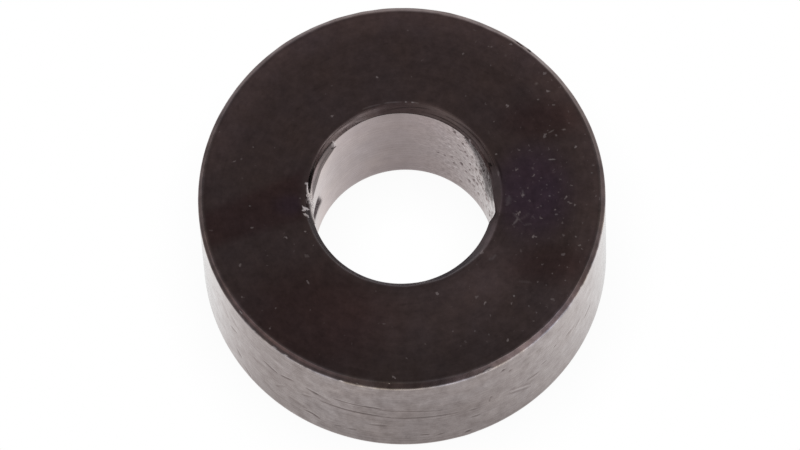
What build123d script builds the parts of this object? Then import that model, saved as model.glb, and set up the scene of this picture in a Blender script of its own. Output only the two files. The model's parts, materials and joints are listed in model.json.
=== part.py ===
from build123d import *
import os
from math import cos, radians, sin, sqrt

# Spacer washer: a thick ring turned from black-finished steel bar, with a clearance bore for an M8 bolt.
# It stands on its lower face. +Z runs up the bore, and the origin is the centre of the lower face.
# Lengths are in millimetres. Angles are in degrees about +Z, from +X towards +Y.

# The ring
outer_diameter = 19.0
bore_diameter = 8.5
thickness = 8.2
rim_break = 0.25  # width of the 45 degree break on each outer rim
mouth_break = 0.33  # width of the 45 degree break on each mouth of the bore

# The upper mouth was broken by hand, with the countersink held a little off the bore's axis.
deburr_shift = 0.08
deburr_direction = 25.0

# Damage: round scoops where the edges were struck or torn, as (angle, radius of the scoop, depth of the bite).
mouth_scoops = [
    (163.0, 0.42, 0.13),
    (183.0, 0.36, 0.12),
    (-12.0, 0.50, 0.15),
]
rim_scoops = [
    (50.0, 0.60, 0.06),
]

outer_radius = outer_diameter / 2
bore_radius = bore_diameter / 2


def scoop_edge(break_radius, break_width, side, angle, scoop_radius, bite):
    """Take a ball-shaped scoop out of an upper edge break.

    break_radius is the radius at the middle of the break, and side is 1 for a rim, which faces
    outwards, or -1 for a mouth, which faces the axis.
    """
    stand_off = (scoop_radius - bite) / sqrt(2)
    with Locations((0, 0, thickness - break_width / 2 + stand_off)):
        with PolarLocations(break_radius + side * stand_off, 1, start_angle=angle):
            Sphere(scoop_radius, mode=Mode.SUBTRACT)


with BuildPart() as spacer_washer:
    with BuildSketch():
        Circle(outer_radius)
        Circle(bore_radius, mode=Mode.SUBTRACT)
    extrude(amount=thickness)

    # Edge breaks: both rims, and the lower mouth.
    round_edges = spacer_washer.edges().filter_by(GeomType.CIRCLE).group_by(SortBy.RADIUS)
    chamfer(round_edges[-1], length=rim_break)
    chamfer(round_edges[0].sort_by(Axis.Z)[0], length=mouth_break)

    # The upper mouth: a 90 degree countersink that leans off the axis, so its break is wider on one side.
    shift_x = deburr_shift * cos(radians(deburr_direction))
    shift_y = deburr_shift * sin(radians(deburr_direction))
    countersink_radius = bore_radius + mouth_break
    countersink_depth = 2 * (mouth_break + deburr_shift)
    with Locations((shift_x, shift_y, thickness)):
        Cone(
            bottom_radius=countersink_radius - countersink_depth,
            top_radius=countersink_radius,
            height=countersink_depth,
            align=(Align.CENTER, Align.CENTER, Align.MAX),
            mode=Mode.SUBTRACT,
        )

    for angle, scoop_radius, bite in mouth_scoops:
        scoop_edge(bore_radius + mouth_break / 2, mouth_break, -1, angle, scoop_radius, bite)
    for angle, scoop_radius, bite in rim_scoops:
        scoop_edge(outer_radius - rim_break / 2, rim_break, 1, angle, scoop_radius, bite)

spacer_washer.part.label = "spacer_washer"

os.makedirs("parts", exist_ok=True)
export_step(spacer_washer.part, "parts/spacer_washer.step")
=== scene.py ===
# Spacer washer: the looks of a thick black-finished steel ring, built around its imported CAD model.
# The ring's mesh is made here at a finer grain than the solid's, with the same form, and carries the
# knocks, tears, pits and scratches as geometry. Lengths are in metres, and MM turns millimetres into
# metres. Places on the ring are an azimuth in degrees, from +X towards +Y, and a radius or a height in
# millimetres.

import json
from math import cos, radians, sin
from types import SimpleNamespace

import bpy
import numpy as np
from mathutils import Matrix, Vector


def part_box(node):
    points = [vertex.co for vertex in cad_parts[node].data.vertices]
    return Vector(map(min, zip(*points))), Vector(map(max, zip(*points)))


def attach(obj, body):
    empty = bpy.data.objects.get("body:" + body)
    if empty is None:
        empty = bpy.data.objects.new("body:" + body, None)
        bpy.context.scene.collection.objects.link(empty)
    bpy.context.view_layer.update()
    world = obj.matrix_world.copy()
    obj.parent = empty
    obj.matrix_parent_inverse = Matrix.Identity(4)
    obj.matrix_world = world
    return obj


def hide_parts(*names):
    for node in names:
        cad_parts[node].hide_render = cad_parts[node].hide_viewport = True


MM = 0.001

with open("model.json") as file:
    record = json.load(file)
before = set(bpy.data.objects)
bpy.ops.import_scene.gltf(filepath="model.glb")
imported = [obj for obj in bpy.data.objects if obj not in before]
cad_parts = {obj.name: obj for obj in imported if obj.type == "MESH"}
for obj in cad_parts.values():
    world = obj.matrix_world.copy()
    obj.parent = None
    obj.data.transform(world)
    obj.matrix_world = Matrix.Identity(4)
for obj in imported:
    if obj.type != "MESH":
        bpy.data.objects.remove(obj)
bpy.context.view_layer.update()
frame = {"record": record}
NODE = "spacer_washer"
BODY = "root"

# ----------------
# Sizes, in millimetres. The main ones come from the frame.

low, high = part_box(NODE)
mounts = {mount["name"]: mount for mount in frame["record"]["mounts"]}
OUTER = high.x / MM
THICK = (high.z - low.z) / MM
BORE = mounts["bore"]["dims"]["r_mm"]
WIDTH = OUTER - BORE
SECTION = 2 * (WIDTH + THICK)  # the way round the section

CREASE = 0.15  # how softly a break turns into its neighbours, as a share of its size
LOWER_BREAK = 0.25
LOWER_MOUTH_BREAK = 0.33

# The hand-filed breaks of the upper edges are uneven: (azimuth, width across the face, depth)
RIM_BREAK = [
    (-170, 0.2, 0.24), (-125, 0.27, 0.27), (-90, 0.24, 0.27), (-30, 0.21, 0.27),
    (10, 0.22, 0.26), (45, 0.24, 0.32), (75, 0.25, 0.25), (105, 0.22, 0.22), (145, 0.21, 0.2),
]
MOUTH_BREAK = [
    (-160, 0.23, 0.27), (-140, 0.22, 0.27), (-110, 0.2, 0.27), (-80, 0.21, 0.27), (-55, 0.3, 0.28),
    (-35, 0.42, 0.3), (-20, 0.38, 0.3), (0, 0.4, 0.34), (25, 0.36, 0.38), (50, 0.37, 0.36),
    (72, 0.45, 0.37), (92, 0.41, 0.33), (104, 0.28, 0.3), (125, 0.22, 0.35), (150, 0.18, 0.36),
    (160, 0.2, 0.36), (175, 0.26, 0.32),
]
# Below the break the bore flares: where metal is broken out at the right, and along a scraped strip
# that runs into the tear at the left. Again (azimuth, width, depth)
MOUTH_FLARE = [
    (-20, 0, 1.2), (-16, 0.14, 1.6), (-13, 0.19, 1.9), (-10, 0.14, 2.2), (-5, 0.05, 2.3), (2, 0, 2.2),
    (135, 0, 1.1), (136.5, 0.05, 1.25), (142, 0.06, 1.45), (150, 0.06, 1.65), (156, 0.06, 2.1),
    (161, 0.05, 2.25), (168, 0.03, 2.2), (174, 0, 1.9),
]
# At the right the oxide runs on down the bore: (azimuth, depth where it thins, depth where it ends)
OXIDE_LIP = [
    (-8, 0, 0), (-3, 0.3, 1.2), (0, 0.6, 2.6), (5, 0.8, 3.8), (10, 1.1, 4.8), (15, 1.2, 6.4),
    (20, 1.2, 7), (25, 0.9, 5.4), (30, 0.5, 3.8), (35, 0.3, 2.6), (40, 0.1, 1.4), (45, 0, 0),
]


# ----------------
# Camera

CAMERA_DISTANCE = 542.9 * MM
CAMERA_ELEVATION = 69.594
AIM_HEIGHT = 3.8 * MM
PAN, TILT, ROLL = 0.016, 0.019, 3.209  # degrees
FOCAL_LENGTH = 520.57
SENSOR = 36.0


def make_camera():
    """Looks down on the ring from the front with a very long lens, as in the photograph."""
    data = bpy.data.cameras.new("camera")
    data.sensor_width = SENSOR
    data.lens = FOCAL_LENGTH
    data.clip_start = 0.01
    data.clip_end = 20
    camera = bpy.data.objects.new("camera", data)
    bpy.context.scene.collection.objects.link(camera)
    elevation = radians(CAMERA_ELEVATION)
    away = Vector((0, -cos(elevation), sin(elevation)))
    right = Vector((1, 0, 0))
    up = right.cross(-away)
    turn = Matrix((right, up, away)).transposed()
    for degrees, axis in ((PAN, "Y"), (TILT, "X"), (-ROLL, "Z")):
        turn = turn @ Matrix.Rotation(radians(degrees), 3, axis)
    place = away * CAMERA_DISTANCE + Vector((0, 0, AIM_HEIGHT))
    camera.matrix_world = Matrix.Translation(place) @ turn.to_4x4()
    bpy.context.scene.camera = camera


# ----------------
# Repeatable noise


def lattice_value(x, y, z, seed):
    """A number from 0 to 1 for each whole-numbered point, always the same one."""
    mixed = (x * 374761393 + y * 668265263 + z * 982451653 + seed * 1274126177) & 0xFFFFFFFF
    mixed = ((mixed ^ (mixed >> 13)) * 1103515245) & 0xFFFFFFFF
    return ((mixed ^ (mixed >> 16)) & 0xFFFFFF) / 0xFFFFFF


def noise(points, size, seed):
    """Smooth noise from -1 to 1 with lumps about size across."""
    scaled = points / size
    cell = np.floor(scaled).astype(np.int64)
    t = scaled - cell
    t = t * t * (3 - 2 * t)
    total = 0
    for corner in np.ndindex(2, 2, 2):
        weight = np.prod(np.where(corner, t, 1 - t), axis=1)
        total = total + weight * lattice_value(*(cell + corner).T, seed)
    return 2 * total - 1


def rough_noise(points, size, seed, octaves=3):
    """Noise with finer lumps laid over coarse ones."""
    return sum(noise(points, size / 2**k, seed + k) / 2**k for k in range(octaves))


def step(low_edge, high_edge, x):
    """0 at low_edge, 1 at high_edge, and smooth between."""
    t = np.clip((x - low_edge) / (high_edge - low_edge), 0, 1)
    return t * t * (3 - 2 * t)


def turn_from(azimuth, centre):
    """Degrees from centre to azimuth, from -180 to 180."""
    return (azimuth - centre + 180) % 360 - 180


def span(azimuth, first, last, soft):
    """1 between two azimuths and 0 beyond them, with soft ends."""
    half = (last - first) / 2
    return 1 - step(half - soft, half + soft, abs(turn_from(azimuth, first + half)))


# ----------------
# Places round the section, in millimetres from the bore's lower edge: out under the ring, up the
# wall, in over the face and down the bore.


def under_at(radius):
    return radius - BORE


def wall_at(height):
    return WIDTH + height


def face_at(radius):
    return WIDTH + THICK + OUTER - radius


def bore_at(height):
    return 2 * WIDTH + THICK + THICK - height


def rim_at(radius, width=0.24):
    """The place that the rim break carries to a radius."""
    return WIDTH + THICK + 2 * (OUTER - radius) - width


def mouth_at(radius, width=0.3):
    """The place that the mouth break carries to a radius."""
    return 2 * WIDTH + THICK + width - 2 * (radius - BORE)


def section_point(place):
    """Radius and height of a point of the sharp-edged section."""
    corners = [0, WIDTH, WIDTH + THICK, 2 * WIDTH + THICK, SECTION]
    radius = np.interp(place % SECTION, corners, [BORE, OUTER, OUTER, BORE, BORE])
    height = np.interp(place % SECTION, corners, [0, 0, THICK, THICK, 0])
    return radius, height


# ----------------
# Marks: each follows a line over the surface and sinks it (or raises it, where the depth is below 0),
# changes its shade, or bares the metal.

MARKS = []
TAPER = 0.3  # the share of a mark's length that thins at each end


def mark(place_of, line, half_width, depth=0.0, shade=1.0, bare=0.0, fine=2):
    """line is a list of (azimuth, radius or height), and fine is how many times the mesh's grid is
    split along it."""
    line = [(azimuth, place_of(where)) for azimuth, where in line]
    MARKS.append((line, half_width, depth, shade, bare, fine))


def trace(azimuth, place, line, reach):
    """Which points lie within reach of a line, how far from it, and how far along it from 0 to 1."""
    centre = line[0][0]
    scale = radians(1) * section_point(line[0][1])[0]
    across = turn_from(azimuth, centre) * scale
    path = np.array([(turn_from(a, centre) * scale, p) for a, p in line])
    low_end, high_end = path.min(axis=0) - reach, path.max(axis=0) + reach
    near = (across > low_end[0]) & (across < high_end[0]) & (place > low_end[1]) & (place < high_end[1])
    index = np.flatnonzero(near)
    points = np.stack([across[index], place[index]], axis=1)
    best = np.full(len(index), np.inf)
    along = np.full(len(index), 0.5)
    if len(path) == 1:
        return index, np.linalg.norm(points - path[0], axis=1), along
    lengths = np.linalg.norm(np.diff(path, axis=0), axis=1)
    starts = np.concatenate([[0], np.cumsum(lengths)])
    for start, end, length, before in zip(path, path[1:], lengths, starts):
        t = np.clip((points - start) @ (end - start) / length**2, 0, 1)
        distance = np.linalg.norm(points - start - t[:, None] * (end - start), axis=1)
        closer = distance < best
        best[closer] = distance[closer]
        along[closer] = (before + t[closer] * length) / starts[-1]
    return index, best, along


def add_marks(azimuth, place):
    """The relief, shade and bareness that all the marks give to each point."""
    relief = np.zeros(len(azimuth))
    shade = np.ones(len(azimuth))
    bare = np.zeros(len(azimuth))
    for line, half_width, depth, marked_shade, marked_bare, _ in MARKS:
        index, distance, along = trace(azimuth, place, line, half_width * 1.1)
        end = np.minimum(along, 1 - along)
        width = half_width * (0.25 + 0.75 * step(0, TAPER, end)) if len(line) > 1 else half_width
        strength = 1 - step(0, 1, distance / width)
        relief[index] -= depth * strength
        shade[index] *= 1 + (marked_shade - 1) * strength
        bare[index] = np.maximum(bare[index], marked_bare * strength)
    return relief, shade, bare


# Round the wall, at the front, run two long scratches and some shorter ones
for line, half_width, depth, shade in (
    ([(-114, 5.25), (-109, 5.2), (-104, 5.2)], 0.09, 0.008, 0.3),
    ([(-105, 5.25), (-101, 5.2), (-98.5, 5.1)], 0.12, 0.01, 0.15),
    ([(-99.5, 5), (-92.5, 5), (-85.5, 4.75), (-81, 4.6)], 0.09, 0.005, 0.3),
    ([(-117, 4.25), (-110, 4.2), (-103, 4.2), (-97, 4.1)], 0.13, 0.012, 0.1),
    ([(-98, 4.05), (-88, 4), (-81.5, 3.9), (-77, 3.8)], 0.1, 0.009, 0.2),
    ([(-122.3, 1.9), (-120, 1.9), (-117.5, 1.6)], 0.13, 0.013, 0.1),
    ([(-88.5, 1.6), (-85.5, 1.5)], 0.1, 0.009, 0.2),
    ([(-84, 1.3), (-81.5, 1.4)], 0.1, 0.009, 0.2),
    ([(-75.6, 0.8), (-74, 0.85)], 0.14, 0.016, 0.1),
    ([(-73.8, 2.6), (-70.8, 2.5)], 0.12, 0.008, 0.25),
    ([(-55.6, 3.75), (-51.3, 3.6)], 0.12, 0.008, 0.2),
    ([(-35.6, 4.1), (-32.4, 4.3)], 0.1, 0.007, 0.3),
    ([(-68.3, 3.5), (-67.4, 4.4)], 0.07, 0.008, 0.2),
    ([(-92.5, 1.6), (-92.5, 1)], 0.04, 0.005, 0.3),
):
    mark(wall_at, line, half_width, depth, shade)
    # Below each scratch a raised lip, painted lighter: a painted highlight
    raised = [(azimuth, height - 1.7 * half_width) for azimuth, height in line]
    mark(wall_at, raised, half_width, -0.3 * depth, 1.3, fine=1)

# Softer rubs and dents
for line, half_width, depth, shade in (
    ([(-151, 4.5), (-147.5, 4.8)], 0.19, 0.014, 0.5),
    ([(-148.5, 2.3), (-146.5, 1.8)], 0.18, 0.015, 0.4),
    ([(-145, 1.1), (-142.5, 0.6)], 0.16, 0.012, 0.4),
    ([(-136, 4.95), (-131, 4.7)], 0.16, 0.016, 0.48),
    ([(-130, 4.75), (-125.5, 5.15)], 0.15, 0.018, 0.32),
    ([(-132, 2.7), (-128.5, 3.6)], 0.14, 0.01, 0.56),
    ([(-121.3, 5.15), (-117.4, 4.9)], 0.18, 0.016, 0.4),
    ([(-124, 3.7), (-119, 4.3)], 0.09, 0.008, 0.48),
    ([(-113, 1.5), (-111, 1.7)], 0.14, 0.008, 0.56),
    ([(-109, 1.6), (-106.5, 1.7)], 0.16, 0.01, 0.48),
    ([(-102.5, 2.8), (-97.5, 2.9)], 0.23, 0.01, 0.56),
    ([(-74, 3.65), (-72, 3.5)], 0.14, 0.008, 0.56),
    ([(-62, 3.5), (-58, 3), (-54.5, 2.5)], 0.16, 0.013, 0.56),
    ([(-61.5, 3.8), (-57.5, 3.3), (-54.5, 2.85)], 0.14, -0.013, 1.4),
    ([(-63.7, 7.15), (-63.2, 7.05)], 0.18, 0.021, 0.16),
    ([(-61.4, 6.55), (-60.9, 6.5)], 0.16, 0.018, 0.32),
    ([(-44.9, 5.05), (-44.4, 4.95)], 0.16, 0.018, 0.4),
    ([(-50.5, 4.3), (-48, 4.2)], 0.14, 0.01, 0.48),
    ([(-40, 4.65), (-37, 4.55)], 0.16, 0.013, 0.48),
    ([(-38.5, 4.2), (-35, 4.35)], 0.14, -0.01, 1.3),
    ([(-30.5, 3.3), (-26, 3.5)], 0.16, 0.013, 0.48),
):
    mark(wall_at, line, half_width, depth, shade)

# Broad smudges on the left of the wall
for line, half_width, depth, shade in (
    ([(-155, 6.3), (-152, 5.2)], 0.34, 0.014, 0.6),
    ([(-150, 6.3), (-147, 5.6)], 0.3, 0.012, 0.64),
    ([(-141, 3.9), (-135, 4.3)], 0.36, 0.012, 0.68),
    ([(-133, 6.4), (-128, 6.1)], 0.4, -0.01, 1.3),
    ([(-128, 2.5), (-122, 2.2)], 0.32, 0.01, 0.66),
    ([(-119, 5.1), (-114, 4.6)], 0.26, 0.008, 0.62),
    ([(-119, 3.4), (-115, 3)], 0.3, 0.008, 0.68),
    ([(-136, 2), (-132, 1.4)], 0.3, 0.01, 0.68),
):
    mark(wall_at, line, half_width, depth, shade, fine=1)

# Light rubbed spots on the left of the wall
for azimuth, height in (
    (-137.7, 5.36), (-133.2, 7.75), (-122, 4.22), (-127.6, 5.71), (-141.4, 4.93), (-144.3, 5.92),
):
    line = [(azimuth - 0.8, height - 0.05), (azimuth + 0.8, height + 0.1)]
    mark(wall_at, line, 0.13, -0.008, 1, 0.12, fine=1)

# Burrs where the rim's break meets the wall, and grains of bare metal on it
for line, half_width, depth, bare in (
    ([(-146.5, 9.36), (-145, 9.37)], 0.1, -0.02, 0.12),
    ([(-139.8, 9.48), (-138.6, 9.47)], 0.08, -0.03, 0.3),
    ([(-132.4, 9.46), (-130.8, 9.45)], 0.1, -0.03, 0.3),
    ([(-128.4, 9.47), (-127, 9.44)], 0.09, -0.04, 0.35),
    ([(-110.9, 9.49), (-109.7, 9.48)], 0.07, -0.05, 0.9),
    ([(-105.6, 9.44)], 0.08, -0.02, 0.15),
    ([(-96.5, 9.29)], 0.05, -0.02, 0.5),
    ([(-71.2, 9.48), (-70.2, 9.47)], 0.06, -0.03, 0.4),
    ([(-69.4, 9.46), (-67.8, 9.43), (-66.2, 9.46)], 0.11, -0.05, 0.35),
    ([(-32, 9.46), (-31, 9.46)], 0.09, -0.03, 0.3),
    ([(-24.2, 9.46), (-23.2, 9.46)], 0.08, -0.03, 0.3),
    ([(52.5, 9.42), (49.5, 9.4)], 0.1, 0.06, 0),
    ([(48.4, 9.46), (47.2, 9.46)], 0.07, -0.04, 0.2),
):
    mark(rim_at, line, half_width, depth, 1, bare, fine=3)

# The left of the bore's mouth: a forked ridge of torn metal beside a gap painted dark as painted shade, with
# chips in the face
rng = np.random.default_rng(5)
for line, half_width, depth, shade, bare in (
    ([(151, 4.4), (157, 4.38), (162, 4.37), (167, 4.37), (171, 4.32)], 0.15, 0.08, 0, 0),
    ([(157, 4.32), (162, 4.3), (168, 4.29), (173, 4.3)], 0.13, 0.07, 0, 0),
    ([(175, 4.38), (180, 4.36)], 0.06, 0.04, 0.5, 0),
    ([(168.5, 4.51), (171.5, 4.44), (175, 4.36), (179, 4.29), (184, 4.25)], 0.15, -0.05, 1, 1),
    ([(171, 4.27), (175, 4.27), (180, 4.26), (187, 4.25), (194, 4.26)], 0.17, -0.06, 1, 1),
    ([(183, 4.6), (184.6, 4.56), (185, 4.36)], 0.11, -0.05, 1, 0.85),
    ([(185.6, 4.62), (185.4, 4.52)], 0.09, -0.04, 1, 0.75),
    ([(187.6, 4.6), (189.6, 4.5)], 0.09, -0.04, 1, 0.6),
    ([(188.6, 4.57), (190.6, 4.44)], 0.07, -0.03, 1, 0.45),
    ([(186.8, 4.52), (188, 4.46)], 0.08, 0.06, 0.1, 0),
    ([(177.5, 4.46), (181, 4.42)], 0.12, -0.02, 1, 0.1),
    ([(178, 4.64)], 0.05, 0.01, 1, 0.15),
):
    mark(mouth_at, line, half_width, depth, shade, bare, fine=3)
for _ in range(22):
    azimuth = rng.uniform(168, 186)
    radius = 4.25 + max(0, 184 - azimuth) * 0.014 + rng.normal(0, 0.04)
    mark(mouth_at, [(azimuth, radius)], rng.uniform(0.05, 0.1), -0.03, 1, rng.uniform(0.5, 1))

# The scraped strip before the tear: a bright notch over a curl of metal where it starts, a line along
# its foot, and streaks along it
mark(bore_at, [(135.6, 7.95), (135.2, 7.5), (134.6, 7.25)], 0.2, -0.02, 1, 0.8)
mark(bore_at, [(137.5, 7.35), (135.2, 7.1), (133.4, 7)], 0.1, 0.03, 0.3, fine=3)
foot = [(137, 6.95), (142, 6.72), (150, 6.52), (156, 6.1), (162, 5.9), (168, 5.85)]
mark(bore_at, foot, 0.1, 0.01, 0.6, fine=3)
for line, depth, shade in (
    ([(138, 7.62), (146, 7.55), (154, 7.45), (161, 7.4)], -0.01, 1.5),
    ([(139, 7.25), (147, 7.15), (155, 6.95)], 0.012, 0.6),
    ([(143, 7), (151, 6.85), (160, 6.5)], -0.008, 1.4),
    ([(154, 6.75), (160, 6.85), (166, 6.7)], 0.01, 0.6),
):
    mark(bore_at, line, 0.12, depth, shade)

# Dark lines that a file has left along the far break, and bare metal along its edge on the face
for line, half_width in (
    ([(30, 4.3), (50, 4.33), (74, 4.36)], 0.05),
    ([(24, 4.46), (42, 4.47), (60, 4.46)], 0.04),
    ([(66, 4.5), (82, 4.46), (97, 4.38)], 0.04),
):
    mark(mouth_at, line, half_width, 0.012, 0.35)
for azimuth, length, bare in ((77, 4, 0.1), (80, 1.5, 0.3), (84, 1.2, 0.3), (87, 11, 0.07), (99, 12, 0.06)):
    mark(face_at, [(azimuth, 4.67), (azimuth + length, 4.69)], 0.05, -0.01, 1, bare)

# The right of the mouth: bared metal where it is broken out, a scrape and a grain on the face beside
# it, and a pocket in its break painted dark: painted shade
mark(bore_at, [(-18, 7.75), (-12, 7.2), (-5, 6.6)], 0.3, -0.01, 1, 0.35)
mark(face_at, [(6, 4.72), (12, 4.75), (20, 4.72)], 0.1, 0.01, 0.6)
mark(face_at, [(21.8, 4.86)], 0.06, -0.01, 1, 0.4, fine=3)
mark(mouth_at, [(20, 4.32), (17, 4.42)], 0.15, 0.02, 0.35)

# Pits and grains in the right of the bore, thickest towards the mouth
rng = np.random.default_rng(11)
for _ in range(300):
    azimuth = 58 - 70 * rng.power(1.6)
    height = THICK - 0.5 - 6.5 * rng.random() ** 1.3
    line = [(azimuth, height), (azimuth + rng.uniform(0.6, 2.4), height + rng.uniform(-0.3, 0.3))]
    if rng.random() < 0.65:
        mark(bore_at, line, rng.uniform(0.07, 0.2), rng.uniform(0.015, 0.05), rng.uniform(0.1, 0.7), fine=1)
    else:
        mark(bore_at, line, rng.uniform(0.07, 0.16), rng.uniform(-0.04, -0.015), 1, 0.3, fine=1)
for line in ([(65.5, 3.5), (63.5, 3.55)], [(60.5, 3.55), (59, 3.5)], [(53.4, 7.7), (50.5, 7.4)]):
    mark(bore_at, line, 0.07, 0.02, 0.3, fine=3)

# Grains of dust and bare metal on the face
for azimuth, radius, size, bare in (
    (-46.8, 7.23, 0.06, 0.5), (-46, 8.55, 0.05, 0.2), (-46, 8.08, 0.05, 0.2), (-66.2, 7.53, 0.05, 0.2),
    (-62.6, 8, 0.05, 0.2), (-72.8, 7.95, 0.04, 0.15), (-36.7, 8.06, 0.04, 0.2), (-7.9, 6.51, 0.05, 0.2),
    (3.9, 8.93, 0.05, 0.3), (14.2, 6.85, 0.04, 0.15), (-179.3, 7.08, 0.05, 0.3), (52, 8.5, 0.09, 0.05),
    (-3.5, 6.89, 0.06, 0.25), (1.2, 6.79, 0.05, 0.2), (4.4, 6.55, 0.05, 0.2), (-5.7, 7.78, 0.05, 0.35),
    (-17.5, 8.38, 0.06, 0.25), (17.4, 6.37, 0.05, 0.2), (-8.8, 4.91, 0.08, 0.08), (33.7, 7.95, 0.06, 0.25),
):
    mark(face_at, [(azimuth, radius)], size, -0.008, 1, bare, fine=3)
for line, half_width, bare in (
    ([(11.4, 7.03), (10.7, 7.42)], 0.05, 0.22),
    ([(-2, 5.63), (-4.3, 5.63)], 0.05, 0.13),
    ([(-14.2, 5.52), (-16.5, 5.5), (-19.1, 5.37)], 0.07, 0.14),
    ([(-10.9, 7.19), (-10.6, 7.34)], 0.05, 0.18),
    ([(-20.3, 8.58), (-19.6, 8.73)], 0.05, 0.22),
    ([(21.2, 7.54), (21.4, 7.81)], 0.05, 0.14),
    ([(20.3, 8.15), (20, 8.33)], 0.06, 0.16),
    ([(38.6, 8.34), (38, 8.46)], 0.1, 0.08),
):
    mark(face_at, line, half_width, -0.008, 1, bare, fine=3)

# Smudges of dust where the face is violet, two fainter ones nearer the front, and one by the mouth
for line, half_width, bare in (
    ([(-0.3, 5.62), (-3.8, 5.7)], 0.08, 0.07),
    ([(-3.5, 5.02), (-8.8, 4.96)], 0.2, 0.06),
    ([(-12.4, 5.22), (-15.2, 5.57), (-16.4, 5.72)], 0.09, 0.06),
    ([(-15.6, 5.66), (-13.4, 5.84), (-11.2, 6.06)], 0.08, 0.04),
    ([(-17.8, 5.9), (-16.2, 6.22)], 0.08, 0.06),
    ([(-41.8, 5.14), (-39.6, 5.26), (-36.8, 5.3)], 0.11, 0.06),
    ([(-41.6, 6.84), (-38.4, 7.48)], 0.07, 0.05),
    ([(12, 4.66), (9, 4.6)], 0.1, 0.1),
):
    mark(face_at, line, half_width, -0.003, 1, bare)

# Scratches and rubs on the sides that the photograph doesn't show: the back of the wall and the
# underside
rng = np.random.default_rng(23)
for _ in range(20):
    azimuth, height, length = rng.uniform(0, 172), rng.uniform(0.8, 7.4), 1.5 + rng.exponential(4)
    rise = rng.normal(0, 0.03) * length
    middle = (azimuth + length / 2, height + rise * rng.uniform(0.2, 0.8))
    line = [(azimuth, height), middle, (azimuth + length, height + rise)]
    mark(wall_at, line, rng.uniform(0.06, 0.11), rng.uniform(0.004, 0.01), rng.uniform(0.4, 0.8))
for _ in range(26):
    azimuth, height = rng.uniform(0, 175), rng.uniform(0.8, 7.4)
    line = [(azimuth, height), (azimuth + rng.uniform(1, 4), height + rng.normal(0, 0.5))]
    mark(wall_at, line, rng.uniform(0.18, 0.32), rng.uniform(0.006, 0.016), rng.uniform(0.45, 0.8), fine=1)
for _ in range(9):
    azimuth, radius, length = rng.uniform(0, 360), rng.uniform(5.0, 8.6), 2 + rng.exponential(8)
    middle = (azimuth + length / 2, radius + 0.05)
    line = [(azimuth, radius), middle, (azimuth + length, radius + rng.normal(0, 0.2))]
    mark(under_at, line, rng.uniform(0.06, 0.11), rng.uniform(0.004, 0.008), rng.uniform(0.45, 0.8), fine=3)


# ----------------
# The ring's mesh: a grid over azimuth and the way round the section, finer where detail needs it.

COLUMNS = 208
FINEST = 3
SPLIT = 2**FINEST
EDGE_ZONE = 0.5  # near an edge the rows are closer together
EDGE_ROWS = 5
CELL_REACH = 0.6  # a mark this close to a cell's middle crosses it, as a share of the cell's diagonal


def section_rows():
    """How far round the section each row of the grid lies, starting at the bore's lower edge."""
    rows = []
    start = 0.0
    for side, middle_rows in ((WIDTH, 6), (THICK, 26), (WIDTH, 12), (THICK, 26)):
        near = np.linspace(0, EDGE_ZONE, EDGE_ROWS, endpoint=False)
        middle = np.linspace(EDGE_ZONE, side - EDGE_ZONE, middle_rows, endpoint=False)
        far = np.linspace(side - EDGE_ZONE, side, EDGE_ROWS, endpoint=False)
        rows.extend(start + np.concatenate([near, middle, far]))
        start += side
    return np.array(rows)


# Where the grid is split further: (azimuth from, to, place from, to, times split)
FINE_ZONES = [
    (0, 360, wall_at(THICK - 0.35), face_at(OUTER - 0.35), 1),
    (-172, -8, wall_at(THICK - 0.3), face_at(OUTER - 0.3), 2),
    (0, 360, face_at(BORE + 0.5), bore_at(THICK - 0.5), 1),
    (-24, 200, face_at(BORE + 0.45), bore_at(THICK - 0.4), 2),
    (-20, 60, bore_at(THICK - 0.4), bore_at(1.0), 1),
    (8, 50, bore_at(THICK - 0.4), bore_at(3.0), 2),
]


def needs_splitting(azimuth, place, level, cell, height):
    """Which of the cells of one level lie in a zone or on a mark that is finer. Each cell is given by
    its middle, its width in degrees and its height."""
    wanted = np.zeros(len(azimuth), bool)
    for first, last, start, end, times in FINE_ZONES:
        if times > level:
            margin = times - level - 0.5
            across = abs(turn_from(azimuth, (first + last) / 2)) < (last - first) / 2 + margin * cell
            along = abs(place - (start + end) / 2) < (end - start) / 2 + margin * height
            wanted |= across & along
    reach = CELL_REACH * np.hypot(cell * radians(1) * section_point(place)[0], height)
    for line, half_width, _, _, _, fine in MARKS:
        if fine > level:
            index, distance, _ = trace(azimuth, place, line, half_width + reach.max())
            wanted[index] |= distance < half_width + reach[index]
    return wanted


def split_cells(rows):
    """The grid's cells as (times split, columns, rows) after splitting those that need detail."""
    ends = np.append(rows, SECTION)
    column, row = (grid.ravel() for grid in np.meshgrid(np.arange(COLUMNS), np.arange(len(rows))))
    done = []
    for level in range(FINEST + 1):
        parts = 2**level
        cell = 360 / COLUMNS / parts
        azimuth = (column + 0.5) * cell
        base = row // parts
        height = (ends[base + 1] - ends[base]) / parts
        place = ends[base] + (row % parts + 0.5) * height
        wanted = needs_splitting(azimuth, place, level, cell, height)
        done.append((level, column[~wanted], row[~wanted]))
        column = (2 * column[wanted, None] + [0, 1, 0, 1]).ravel()
        row = (2 * row[wanted, None] + [0, 0, 1, 1]).ravel()
    return done


def fan(corners, right, up):
    """A cell's outline as one face. With finer cells beside it, it becomes triangles that meet at one
    of its corners, chosen so that none of them has all its corners on one side of the cell."""
    count = len(corners)
    if count == 4:
        return [corners]
    for first in range(count):
        order = [(first + turn) % count for turn in range(count)]
        triangles = [(first, second, third) for second, third in zip(order[1:], order[2:])]
        if not any(right[a] == right[b] == right[c] or up[a] == up[b] == up[c] for a, b, c in triangles):
            return [[corners[index] for index in triangle] for triangle in triangles]
    return [corners]


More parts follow.
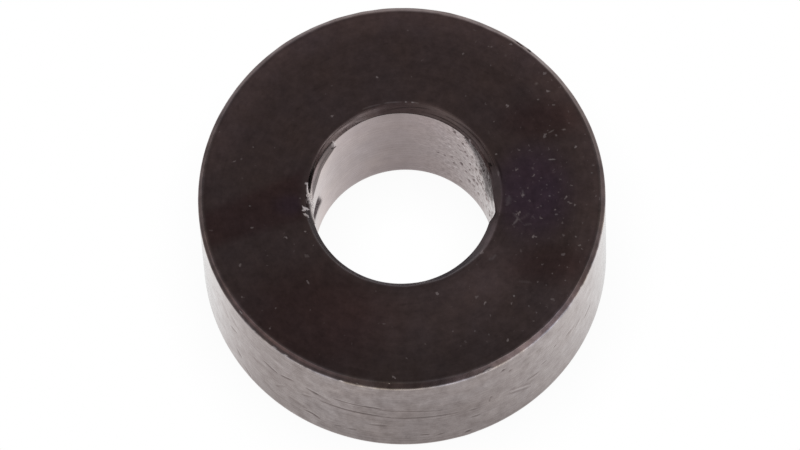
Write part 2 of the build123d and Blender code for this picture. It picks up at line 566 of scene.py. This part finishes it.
def ring_grid():
    """Corners as azimuth (degrees) and place round the section, and faces as lists of corners.
    A cell beside finer ones takes their corners into its own outline, so the mesh has no gaps."""
    rows = section_rows()
    cells = split_cells(rows)
    wide, tall = COLUMNS * SPLIT, len(rows) * SPLIT
    used = np.zeros((tall, wide), bool)
    for level, column, row in cells:
        size = SPLIT >> level
        for right, up in ((0, 0), (size, 0), (size, size), (0, size)):
            used[(row * size + up) % tall, (column * size + right) % wide] = True
    number = np.cumsum(used.ravel()).reshape(used.shape) - 1
    faces = []
    for level, column, row in cells:
        size = SPLIT >> level
        run = np.arange(size)
        flat = np.zeros(size, int)
        right = np.concatenate([run, flat + size, size - run, flat])
        up = np.concatenate([flat, run, flat + size, size - run])
        across = (column[:, None] * size + right) % wide
        along = (row[:, None] * size + up) % tall
        on = used[along, across]
        corners = number[along, across]
        for line, keep in zip(corners, on):
            faces.extend(fan(line[keep].tolist(), right[keep], up[keep]))
    along, across = np.nonzero(used)
    place = np.interp(along / SPLIT, np.arange(len(rows) + 1), np.append(rows, SECTION))
    return across * 360 / wide, place, faces


# ----------------
# The ring's form


def around(table, azimuth):
    """Width and depth of an uneven break at each azimuth."""
    centre, width, depth = zip(*table)
    return np.interp(azimuth, centre, width, period=360), np.interp(azimuth, centre, depth, period=360)


def break_edge(radius, height, edge_radius, edge_height, width, depth, crease):
    """Cuts an edge back by a flat of that width and depth: points beyond the flat move onto it."""
    outwards = 1 if edge_radius == BORE else -1
    upwards = 1 if edge_height == 0 else -1
    inside = (radius - edge_radius) * outwards / width + (height - edge_height) * upwards / depth
    cut = 1 - inside
    soft = np.where(abs(cut) < crease, (cut + crease) ** 2 / (4 * crease), np.maximum(cut, 0))
    push = soft / (1 / width**2 + 1 / depth**2)
    return radius + outwards * push / width, height + upwards * push / depth


def ring_section(azimuth, place):
    """Radius and height of each point, with the edges broken."""
    radius, height = section_point(place)
    angle = np.radians(azimuth)
    circle = np.stack([np.cos(angle), np.sin(angle), 0 * angle], axis=1)
    rim_width, rim_depth = around(RIM_BREAK, azimuth)
    mouth_width, mouth_depth = around(MOUTH_BREAK, azimuth)
    rim_width = rim_width + 0.02 * rough_noise(circle * OUTER, 1.4, 21)
    rim_depth = rim_depth + 0.02 * rough_noise(circle * OUTER, 0.9, 25)
    mouth_width = mouth_width + 0.02 * rough_noise(circle * BORE, 0.8, 31)
    mouth_depth = mouth_depth + 0.02 * rough_noise(circle * BORE, 0.9, 35)
    flare_width, flare_depth = around(MOUTH_FLARE, azimuth)
    rounding = CREASE + 0.1 * span(azimuth, -166, -30, 12)
    for edge_radius, edge_height, width, depth, crease in (
        (OUTER, THICK, rim_width, rim_depth, CREASE),
        (OUTER, 0, LOWER_BREAK, LOWER_BREAK, CREASE),
        (BORE, THICK, mouth_width, mouth_depth, rounding),
        (BORE, THICK, np.maximum(flare_width, 0.001), flare_depth, CREASE + 0.35 * span(azimuth, -30, 40, 5)),
        (BORE, 0, LOWER_MOUTH_BREAK, LOWER_MOUTH_BREAK, CREASE),
    ):
        radius, height = break_edge(radius, height, edge_radius, edge_height, width, depth, crease)
    return radius, height


def filing(azimuth, place):
    """Uneven lines, from -1 to 1, that a file has left along the mouth's far break."""
    return rough_noise(np.stack([azimuth / 18, place / 0.2, 0 * place], axis=1), 1.0, 41, octaves=2)


def surface_relief(azimuth, place):
    """The file's lines on the far break, and the torn grain at the right of the bore."""
    depth_down = place - bore_at(THICK)
    broken = step(-0.5, -0.3, depth_down) * (1 - step(0.3, 0.45, depth_down))
    torn = span(azimuth, -24, 42, 18) * step(0.3, 0.8, depth_down) * (1 - step(4.5, 7.5, depth_down))
    angle = np.radians(azimuth)
    grain = rough_noise(np.stack([BORE * angle / 0.32, place / 0.5, 0 * place], axis=1), 1.0, 61)
    return 0.01 * filing(azimuth, place) * broken * span(azimuth, 10, 172, 8) + 0.016 * grain * torn


def ring_shape(azimuth, place, relief):
    """Radius and height of each point, with its relief raised along the section's normal."""
    radius, height = ring_section(azimuth, place)
    relief = relief + surface_relief(azimuth, place)
    nudge = 0.01
    ahead_radius, ahead_height = ring_section(azimuth, place + nudge)
    back_radius, back_height = ring_section(azimuth, place - nudge)
    along_radius, along_height = ahead_radius - back_radius, ahead_height - back_height
    length = np.hypot(along_radius, along_height)
    return radius + relief * along_height / length, height - relief * along_radius / length


# ----------------
# The ring's colours, kept on its corners

OXIDE = (0.053, 0.028, 0.026)
BORE_METAL = (0.112, 0.076, 0.076)
PALE_METAL = (0.26, 0.215, 0.212)
SCRAPED_METAL = (0.44, 0.37, 0.36)
FILED_METAL = (0.28, 0.215, 0.205)
BLUED_METAL = (0.1, 0.084, 0.087)
BROWNED_METAL = (0.1, 0.07, 0.072)
# Near white and kept dull: bare metal with a painted glint, light whatever it reflects
TORN_METAL_GLINT = (0.95, 0.86, 0.84)
LIP_METAL = (0.185, 0.127, 0.123)
SMEAR = (0.34, 0.245, 0.26)
RUST = (0.5, 0.27, 0.17)
# The greyer colour of the painted highlight on the rim's break at its right front
RIM_HIGHLIGHT_TINT = (1.04, 1.26, 1.32)
STRIP_TINT = (1.0, 0.88, 0.88)

# Patches of tint on the face: their middle and half widths across and along, how far out they are
# full and where they end, as shares of those half widths, and the tint
VIOLET_PATCH = (6.1, -0.2, 1.9, 2.4, 0.4, 1.3)
FACE_PATCHES = [
    (VIOLET_PATCH, (0.88, 0.7, 1.4)),
    ((-5.2, -0.15, 0.8, 0.6, 0.3, 1.3), (0.9, 0.9, 1.5)),
    ((-4.5, -6.0, 4.5, 3.5, 0.3, 1.2), (0.85, 0.62, 0.62)),
    ((6.6, 3.4, 2.2, 1.2, 0.3, 1.2), (0.85, 0.66, 0.66)),
    ((6.6, -3.8, 2.2, 1.2, 0.3, 1.2), (0.85, 0.66, 0.66)),
    ((3.6, -3.8, 2.4, 2.0, 0.2, 1.2), (1.6, 1.6, 1.6)),
    ((0.3, -5.9, 5.5, 1.9, 0.4, 1.3), (1.35, 1.35, 1.35)),
]
# The painted shade of a darker wedge at the face's left
WEDGE_SHADE_TINT = (0.8, 0.58, 0.6)
# The face is lighter towards the rim at its far side and right
OUTER_LIGHTER_TINT = (1.45, 1.45, 1.45)


def blend(colour, other, share):
    return colour + np.subtract(other, colour) * share[:, None]


def bore_metal(azimuth, depth_down):
    """Bared metal, paler at the left of the bore and towards its two ends."""
    metal = blend(BORE_METAL, PALE_METAL, span(azimuth, 115, 190, 26))
    metal = blend(metal, SCRAPED_METAL, span(azimuth, 144, 196, 12))
    upper = (1 - step(1.0, 3.0, depth_down)) * (1 - span(azimuth, 78, 112, 10))
    return metal * (1 + 0.25 * upper + 0.15 * step(5.0, 7.0, depth_down))[:, None]


def filing_and_painted_light(azimuth, place):
    """How light the mouth's far break is, from 0 to 1: the file's lines, with painted light that makes it
    lightest at the left and painted shade on most of its inner half and from its right round to its far
    middle.
    """
    left = span(azimuth, 122, 158, 8)
    inner_half = step(-0.15, 0.15, place - bore_at(THICK)) * (1 - span(azimuth, 104, 144, 6))
    light = 0.75 - 0.35 * inner_half + 0.9 * filing(azimuth, place) + 0.3 * left
    light = np.clip(light, 0, 1) * (0.45 + 0.55 * left) * (1 - 0.8 * span(azimuth, 147, 200, 4))
    return light * (1 - 0.85 * span(azimuth, 68, 106, 10)) * (1 - 0.55 * span(azimuth, 20, 72, 8))


def near_metal(azimuth, depth_down):
    """The mouth's near break: blued, and at the right browned, and paler there along the face."""
    metal = blend(BLUED_METAL, BROWNED_METAL, span(azimuth, -40, 16, 8))
    along_face = span(azimuth, -34, -8, 5) * (0.45 * (1 - step(-0.18, -0.02, depth_down)) - 0.12)
    return metal * (1 + along_face)[:, None]


def paint_bore(colour, azimuth, place, points):
    """Bared metal down the bore, the oxide that runs on down it at the right, and the mouth's break.
    Also how dull these places are."""
    mouth_width, mouth_depth = around(MOUTH_BREAK, azimuth)
    depth_down = place - bore_at(THICK)
    ragged = 1 + 0.3 * rough_noise(points, 0.5, 71)
    thins, ends = (depth * ragged for depth in around(OXIDE_LIP, azimuth))
    bared = step(np.maximum(thins, mouth_depth), np.maximum(ends, mouth_depth + 0.1), depth_down)
    colour = blend(colour, bore_metal(azimuth, depth_down), bared)
    lip = (1 - bared) * step(0.1, 0.3, depth_down) * span(azimuth, -10, 46, 2)
    paler_down = (0.3 + 0.7 * step(0.3, 1.5, depth_down)) * (1 - 0.4 * span(azimuth, 2, 16, 4))
    colour = blend(colour, LIP_METAL, lip * paler_down)

    on_break = step(-0.1, 0.0, depth_down + mouth_width) * (1 - step(0.0, 0.1, depth_down - mouth_depth))
    far = span(azimuth, 26, 160, 8) * on_break
    colour = blend(colour, FILED_METAL, filing_and_painted_light(azimuth, place) * far)
    near = span(azimuth, -176, -18, 8) * step(-0.1, 0.05, depth_down + mouth_width)
    near = near * (1 - step(0.15, 0.3, depth_down - mouth_width))
    near = np.maximum(near, 0.65 * span(azimuth, -14, 14, 3) * on_break)
    colour = blend(colour, near_metal(azimuth, depth_down), near)
    filed_dull = (0.6 + 0.3 * span(azimuth, 122, 158, 8)) * far
    return colour, np.maximum.reduce([0.8 * lip, 0.85 * near, filed_dull])


def smear(azimuth, place):
    """A dark smear round the bore, under the tear at its left."""
    height = THICK - (place - bore_at(THICK))
    slant = 3.7 * (height - 2.8)
    return span(azimuth - slant, 151.5, 166.5, 1.5) * step(2.4, 3.2, height) * (1 - step(4.1, 4.4, height))


def patch(points, x, y, across, along, full, end):
    """1 inside an ellipse on the face and 0 beyond it, with a soft edge."""
    return 1 - step(full, end, np.hypot((points[:, 0] - x) / across, (points[:, 1] - y) / along))


def tint_face(points):
    """Faint changes of tint over the face: a darker wedge at its left, which is painted shade, a violet
    patch at its right between two red ones, a bluish and a ruddy one at its left, haze at its front,
    and lighter towards the rim at its right."""
    x, y = points[:, 0], points[:, 1]
    # The wedge at the left is painted shade
    below_top = 1 - step(-0.4, 0.25, y - 1.8 - 0.4 * (x + 4.1))
    above_foot = step(-0.25, 0.4, y + 0.9 - 0.26 * (x + 4.4))
    tint = blend(np.ones(3), WEDGE_SHADE_TINT, below_top * above_foot * (x < 0))
    for place, colour in FACE_PATCHES:
        tint = blend(tint, tint * colour, patch(points, *place))
    # Lighter towards the rim at its far side and right
    lighter_towards_rim = step(7.6, 9.2, np.hypot(x, y)) * step(-4.5, -1.5, y + 0.6 * x)
    return blend(tint, tint * OUTER_LIGHTER_TINT, lighter_towards_rim)


def worn_and_highlit_edges(azimuth, place, points):
    """How far wear has bared the two sides of the rim's break, with a painted highlight along them that is
    strongest on the outer side at the front.
    """
    rim_width, rim_depth = around(RIM_BREAK, azimuth)
    patchy = 0.8 + 0.2 * noise(points, 0.6, 51)
    outer_side = np.exp(-(((place - wall_at(THICK - rim_depth)) / 0.06) ** 2))
    inner_side = np.exp(-(((place - face_at(OUTER - rim_width)) / 0.05) ** 2))
    # The front's stronger bareness is a painted highlight along the edge
    front = 0.35 * span(azimuth, -138, -8, 14) + 0.25 * span(azimuth, -84, -6, 8)
    return patchy * np.maximum((0.15 + front) * outer_side, 0.06 * inner_side)


def regions(azimuth, place):
    """How far each corner belongs to each part of the surface, from 0 to 1."""
    flare_width, flare_depth = around(MOUTH_FLARE, azimuth)
    depth_down = place - bore_at(THICK)
    strip = step(0.0, 0.03, flare_width) * step(0.15, 0.25, depth_down)
    strip = strip * (1 - step(0.0, 0.12, depth_down - flare_depth))
    return SimpleNamespace(
        under=step(0.2, 0.5, place) * (1 - step(-0.5, -0.2, place - wall_at(0))),
        foot=(1 - step(0.1, 0.45, place - wall_at(0))) * step(-0.2, -0.05, place - wall_at(0)),
        wall=step(0.2, 0.4, place - wall_at(0)) * (1 - step(-0.3, -0.1, place - wall_at(THICK))),
        rim=1 - step(0.2, 0.35, abs(place - face_at(OUTER))),
        face=step(0.2, 0.4, place - face_at(OUTER)) * (1 - step(-0.6, -0.3, place - face_at(BORE))),
        mouth=1 - step(0.3, 0.45, abs(depth_down)),
        bore=step(0.1, 0.4, depth_down),
        strip=strip * span(azimuth, 130, 190, 3) * (1 - step(163, 176, azimuth)),
        strip_foot=step(0.25, 0.7, depth_down / np.maximum(flare_depth, 0.1)),
    )


def shading(azimuth, place, on):
    """The broad changes of light and dark over the wall, the rim's break and the scraped strip, much of them
    painted shade and painted highlight.
    """
    # The left of the wall is darker; a band round the middle of its front and its front's foot are darker
    # too: painted shade
    middle = (1 - step(0, 3, abs(place - wall_at(4)))) * span(azimuth, -108, -66, 14)
    low = (1 - step(1.0, 2.4, place - wall_at(0))) * span(azimuth, -128, -22, 12)
    dark = on.wall * np.maximum.reduce([0.75 * span(azimuth, -150, -122, 12), 0.35 * middle, 0.3 * low])
    # The left of the rim's break has a painted highlight along the face and painted shade along the wall
    inner_half = step(-0.02, 0.07, place - face_at(OUTER))
    split = on.rim * span(azimuth, -172, -110, 10)
    # The right front of the rim's break and a stretch at its left are painted lighter: a painted highlight
    lit = 0.7 * span(azimuth, -86, -32, 8) + 0.4 * span(azimuth, -60, -30, 6)
    lit = on.rim * (lit + 0.3 * span(azimuth, -152, -118, 8))
    # The scraped strip is darker towards its foot: painted shade
    scraped = on.strip * (0.66 - 0.5 * span(azimuth, 152, 178, 5) * (1 - on.strip_foot))
    return (1 - 0.6 * dark) * (1 + split * (0.65 * inner_half - 0.3)) * (1 + lit) * (1 - scraped)


def patterns(azimuth, on):
    """How strongly each corner takes the material's mottling, turning marks and pits."""
    mottled_wall = on.wall * (0.35 + 0.2 * span(azimuth, -190, -106, 16))
    mottling = 0.3 + mottled_wall + 0.2 * on.rim + 0.3 * on.under - 0.1 * on.bore
    turned_wall = on.wall * (0.05 + 0.12 * span(azimuth, -190, -112, 14))
    turning = 0.3 - turned_wall + 0.25 * on.under - 0.25 * on.bore
    pitting = on.bore * span(azimuth, -20, 70, 22) + 0.15 * on.face
    return mottling, turning, pitting


def paint(azimuth, place, points, shade, bare):
    """Each corner's colour, its finish (roughness, oil, dullness, dust), and how strongly it takes the
    material's patterns."""
    on = regions(azimuth, place)
    tint = tint_face(points)
    # Painted light and shade: the ring grows lighter towards its far side (+Y)
    colour = OXIDE * (1 + 0.18 * points[:, 1] / OUTER)[:, None]
    colour, dull = paint_bore(colour, azimuth, place, points)
    colour = blend(colour, colour * tint, on.face)
    # The rim's break takes the greyer colour of its painted highlight at the right front
    colour = blend(colour, colour * RIM_HIGHLIGHT_TINT, on.rim * span(azimuth, -86, -32, 8))
    colour = blend(colour, colour * STRIP_TINT, on.strip)

    shade = shade * shading(azimuth, place, on)
    # Wear and a painted highlight along the rim's edges
    bare = np.maximum(bare, worn_and_highlit_edges(azimuth, place, points))
    smeared = smear(azimuth, place)
    # Bared places take the near-white painted glint
    colour = blend(colour * shade[:, None], TORN_METAL_GLINT, bare)
    colour = blend(colour, RUST, 0.15 * on.foot)
    colour = blend(colour, SMEAR, smeared)

    dull = np.maximum.reduce([dull, bare, 0.9 * smeared, 0.5 * on.strip])
    dull_bore = np.maximum(smeared, dull * on.bore * (1 - bare) * (1 - on.strip))
    roughness = 0.1 + 0.16 * on.rim + 0.25 * on.mouth + 0.35 * on.strip + 0.25 * bare
    roughness = np.maximum(roughness, 0.9 * dull_bore)
    oil = 0.7 * (1 - 0.8 * on.strip) * (1 - dull) * np.clip(shade, 0, 1)
    # On the face the coat follows the tints, the wedge's painted shade among them
    oil = oil * (1 + 0.6 * on.face * (tint.mean(axis=1) - 1))
    dust = 0.05 + 0.06 * step(0, -6, points[:, 1]) + 0.5 * step(3, 8.5, points[:, 0])
    dust = on.face * (dust + 0.5 * patch(points, *VIOLET_PATCH))
    full = np.ones(len(azimuth))
    return (
        np.stack([*colour.T, full], axis=1),
        np.stack([roughness, oil, dull, dust], axis=1),
        np.stack([*patterns(azimuth, on), full], axis=1),
    )


def make_ring():
    azimuth, place, faces = ring_grid()
    relief, shade, bare = add_marks(azimuth, place)
    radius, height = ring_shape(azimuth, place, relief)
    angle = np.radians(azimuth)
    points = np.stack([radius * np.cos(angle), radius * np.sin(angle), height], axis=1)
    mesh = bpy.data.meshes.new("washer_ring")
    mesh.from_pydata((points * MM).tolist(), [], faces)
    mesh.shade_smooth()
    for name, values in zip(("tone", "finish", "pattern"), paint(azimuth, place, points, shade, bare)):
        layer = mesh.color_attributes.new(name, "FLOAT_COLOR", "POINT")
        layer.data.foreach_set("color", values.ravel())
    ring = bpy.data.objects.new("washer_ring", mesh)
    bpy.context.scene.collection.objects.link(ring)
    return ring


# ----------------
# Shader nodes


def node(tree, kind, operation=None, **settings):
    """Adds a shader node. Settings name its sockets, with _ for a space, or number them after an n,
    and hold a value or a link."""
    made = tree.nodes.new("ShaderNode" + kind)
    if operation:
        made.operation = operation
    for name, value in settings.items():
        numbered = name[0] == "n" and name[1:].isdigit()
        socket = made.inputs[int(name[1:]) if numbered else name.replace("_", " ")]
        if isinstance(value, bpy.types.NodeSocket):
            tree.links.new(value, socket)
        else:
            socket.default_value = value
    return made


def maths(tree, operation, *values):
    """The result of a Math node."""
    return node(tree, "Math", operation, **{f"n{k}": value for k, value in enumerate(values)}).outputs[0]


def attribute(tree, name, output="Color"):
    made = node(tree, "Attribute")
    made.attribute_name = name
    return made.outputs[output]


def channels(tree, colour):
    return node(tree, "SeparateColor", Color=colour).outputs[:3]


def scaled(tree, vector, *scales):
    """The vector with each of its axes scaled."""
    return node(tree, "VectorMath", "MULTIPLY", n0=vector, n1=scales).outputs[0]


def noise_node(tree, vector, scale, detail, roughness, w=None):
    """Noise from -0.5 to 0.5."""
    made = node(tree, "TexNoise", Vector=vector, Scale=scale, Detail=detail, Roughness=roughness)
    if w is not None:
        made.noise_dimensions = "4D"
        tree.links.new(w, made.inputs["W"])
    return maths(tree, "SUBTRACT", made.outputs["Fac"], 0.5)


def contrast(tree, value, gain, strength):
    """1 plus a pattern of that gain and strength."""
    return maths(tree, "MULTIPLY_ADD", maths(tree, "MULTIPLY", value, gain), strength, 1.0)


# ----------------
# The material

BUMP_HEIGHT = 0.008 * MM
COOL_TINT = (0.88, 0.96, 1.16, 1)
WARM_TINT = (1.08, 1.02, 0.88, 1)
DUST_COLOUR = (0.33, 0.27, 0.27, 1)
DUST_CELLS = 3.2  # to a millimetre
DUST_BEND = 0.4  # how far the cells are bent, in millimetres


def round_marks(tree, point):
    """Turning marks and scuffs. They run round the ring: their noise changes fast with radius and
    height only."""
    axes = node(tree, "SeparateXYZ", Vector=point).outputs
    flat = node(tree, "CombineXYZ", X=axes[0], Y=axes[1]).outputs[0]
    radius = node(tree, "VectorMath", "LENGTH", n0=flat).outputs["Value"]
    drawn = scaled(tree, point, 0.12, 0.12, 6.0)
    turning = noise_node(tree, drawn, 1.0, 3, 0.6, maths(tree, "MULTIPLY", radius, 6.0))
    drawn = scaled(tree, point, 1.6, 1.6, 4.0)
    scuffing = noise_node(tree, drawn, 1.0, 3, 0.55, maths(tree, "MULTIPLY", radius, 4.0))
    return turning, maths(tree, "MINIMUM", maths(tree, "ADD", scuffing, 0.1), 0.0)


def tinted(tree, tone, patches):
    """The tone with a faint tint that is cool in some patches and warm in others."""
    tint = node(tree, "ValToRGB", Fac=patches)
    for stop, position, colour in zip(tint.color_ramp.elements, (0.38, 0.62), (COOL_TINT, WARM_TINT)):
        stop.position = position
        stop.color = colour
    return node(tree, "VectorMath", "MULTIPLY", n0=tone, n1=tint.outputs[0]).outputs[0]


def dusted(tree, colour, point, likely):
    """The colour under dust: a crooked grain of any size in some of the cells of a fine pattern."""
    bend = node(tree, "TexNoise", Vector=point, Scale=4.0, Detail=2).outputs["Color"]
    bent = node(tree, "VectorMath", "MULTIPLY_ADD", n0=bend, n1=(DUST_BEND,) * 3, n2=point).outputs[0]
    cells = node(tree, "TexVoronoi", Vector=bent, Scale=DUST_CELLS)
    cells.voronoi_dimensions = "2D"
    chance, size, paleness = channels(tree, cells.outputs["Color"])
    chosen = maths(tree, "LESS_THAN", chance, likely)
    reach = maths(tree, "MULTIPLY_ADD", maths(tree, "POWER", size, 2.5), 0.22, 0.07)
    level = maths(tree, "SUBTRACT", reach, cells.outputs["Distance"])
    dust = node(tree, "MapRange", Value=level, From_Min=0.0, From_Max=0.12, To_Max=0.8).outputs[0]
    dust = maths(tree, "MULTIPLY", maths(tree, "MULTIPLY", dust, paleness), chosen)
    mix = node(tree, "Mix", Factor=dust)
    mix.data_type = "RGBA"
    tree.links.new(colour, mix.inputs["A"])
    mix.inputs["B"].default_value = DUST_COLOUR
    return mix.outputs["Result"]


def blackened_steel():
    """Dark oxide over steel, with a film of oil. The corners carry its larger changes of colour and
    finish; turning marks, mottling, pits and dust come from noise here."""
    material = bpy.data.materials.new("blackened_steel")
    material.use_nodes = True
    tree = material.node_tree
    shader = tree.nodes["Principled BSDF"]
    tone = attribute(tree, "tone")
    rough, oil, dull = channels(tree, attribute(tree, "finish"))
    dusty = attribute(tree, "finish", "Alpha")
    mottled, turned, pitted = channels(tree, attribute(tree, "pattern"))

    metres = node(tree, "TexCoord").outputs["Object"]
    point = node(tree, "VectorMath", "SCALE", n0=metres, Scale=1 / MM).outputs[0]
    turning, scuffs = round_marks(tree, point)
    mottling = noise_node(tree, scaled(tree, point, 1.0, 1.0, 0.6), 1.8, 5, 0.65)
    grain = noise_node(tree, point, 5.5, 3, 0.6)
    patches = noise_node(tree, point, 0.45, 4, 0.6)
    pattern = contrast(tree, mottling, 3.0, mottled)
    for part, gain, strength in ((turning, 1.0, turned), (scuffs, 4.0, turned), (grain, 2.4, pitted)):
        pattern = maths(tree, "MULTIPLY", pattern, contrast(tree, part, gain, strength))
    pattern = maths(tree, "MAXIMUM", pattern, 0.1)

    tone = tinted(tree, tone, maths(tree, "MULTIPLY_ADD", patches, mottled, 0.5))
    colour = node(tree, "VectorMath", "SCALE", n0=tone, Scale=pattern).outputs[0]
    likely = maths(tree, "MULTIPLY", dusty, contrast(tree, mottling, 6.0, 0.6))
    tree.links.new(dusted(tree, colour, point, likely), shader.inputs["Base Color"])
    tree.links.new(maths(tree, "MULTIPLY_ADD", mottling, 0.12, rough), shader.inputs["Roughness"])
    tree.links.new(maths(tree, "MULTIPLY", oil, pattern), shader.inputs["Coat Weight"])
    tree.links.new(maths(tree, "SUBTRACT", 1.0, dull), shader.inputs["Metallic"])
    height = maths(tree, "MULTIPLY_ADD", mottling, 1.0, turning)
    height = maths(tree, "MULTIPLY_ADD", grain, 0.3, height)
    bump = node(tree, "Bump", Strength=1.0, Distance=BUMP_HEIGHT, Height=height)
    tree.links.new(bump.outputs[0], shader.inputs["Normal"])
    tree.links.new(bump.outputs[0], shader.inputs["Coat Normal"])
    shader.inputs["Specular Tint"].default_value = (1, 0.9, 0.88, 1)
    shader.inputs["Coat Roughness"].default_value = 0.08
    shader.inputs["Coat IOR"].default_value = 1.5
    return material


# ----------------
# Stage and light

FLOOR_HALF = 3.0
FLOOR_DROP = 0.01 * MM  # keeps the floor out of the plane of the ring's underside
PAPER = (0.85, 0.85, 0.85, 1)
# The shadow under the ring, as the camera and the ring see it
SHADOW_REACH = 3 * MM
SHADOW_SEEN = 0.06
SHADOW_REFLECTED = 0.42


def make_floor():
    """White paper. The camera and the ring's reflections see it as plain white, a little darker under
    the ring, and from below it is clear."""
    mesh = bpy.data.meshes.new("floor")
    signs = ((-1, -1), (1, -1), (1, 1), (-1, 1))
    corners = [(x * FLOOR_HALF, y * FLOOR_HALF, -FLOOR_DROP) for x, y in signs]
    mesh.from_pydata(corners, [], [(0, 1, 2, 3)])
    floor = bpy.data.objects.new("floor", mesh)
    bpy.context.scene.collection.objects.link(floor)
    material = bpy.data.materials.new("floor")
    material.use_nodes = True
    tree = material.node_tree
    tree.nodes.clear()
    path = node(tree, "LightPath")
    camera_ray = path.outputs["Is Camera Ray"]
    seen = maths(tree, "MAXIMUM", camera_ray, path.outputs["Is Glossy Ray"])
    open_sky = node(tree, "AmbientOcclusion", Distance=SHADOW_REACH)
    covered = maths(tree, "SUBTRACT", 1.0, open_sky.outputs["AO"])
    depth = node(tree, "MapRange", Value=camera_ray, To_Min=SHADOW_REFLECTED, To_Max=SHADOW_SEEN)
    white = maths(tree, "SUBTRACT", 1.0, maths(tree, "MULTIPLY", covered, depth.outputs[0]))
    glow = node(tree, "Emission", Strength=white)
    paper = node(tree, "BsdfDiffuse", Color=PAPER)
    mix = node(tree, "MixShader", n0=seen, n1=paper.outputs[0], n2=glow.outputs[0])
    below = node(tree, "NewGeometry").outputs["Backfacing"]
    clear = node(tree, "BsdfTransparent")
    from_above = node(tree, "MixShader", n0=below, n1=mix.outputs[0], n2=clear.outputs[0])
    node(tree, "OutputMaterial", Surface=from_above.outputs[0])
    mesh.materials.append(material)


# The studio: a grey ceiling with soft lights round it, each (azimuth, elevation, strength, degrees
# from its middle where it begins, degrees where it is full)
CEILING = 0.38
SOFT_LIGHTS = [
    (-40, 15, 1.0, 30, 0),
    (-22, 8, 0.55, 55, 10),
    (-140, 10, 0.5, 50, 15),
    (90, 10, 0.5, 55, 15),
]


def make_world():
    world = bpy.data.worlds.new("studio")
    bpy.context.scene.world = world
    world.use_nodes = True
    tree = world.node_tree
    direction = node(tree, "TexCoord").outputs["Generated"]
    level = CEILING
    for azimuth, elevation, strength, begins, full in SOFT_LIGHTS:
        a, e = radians(azimuth), radians(elevation)
        middle = (cos(a) * cos(e), sin(a) * cos(e), sin(e))
        toward = node(tree, "VectorMath", "DOT_PRODUCT", n0=direction, n1=middle).outputs["Value"]
        begins, full = cos(radians(begins)), cos(radians(full))
        light = node(tree, "MapRange", Value=toward, From_Min=begins, From_Max=full)
        light.interpolation_type = "SMOOTHSTEP"
        level = maths(tree, "MULTIPLY_ADD", light.outputs[0], strength, level)
    # The camera sees plain white behind everything
    seen = node(tree, "LightPath").outputs["Is Camera Ray"]
    level = maths(tree, "MULTIPLY", level, maths(tree, "SUBTRACT", 1.0, seen))
    level = maths(tree, "MAXIMUM", level, seen)
    tree.links.new(level, tree.nodes["Background"].inputs["Strength"])
    tree.nodes["Background"].inputs["Color"].default_value = (1, 1, 1, 1)


make_camera()
make_floor()
make_world()

ring = make_ring()
ring.data.materials.append(blackened_steel())
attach(ring, BODY)
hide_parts(NODE)

bpy.context.scene.view_settings.view_transform = "Standard"
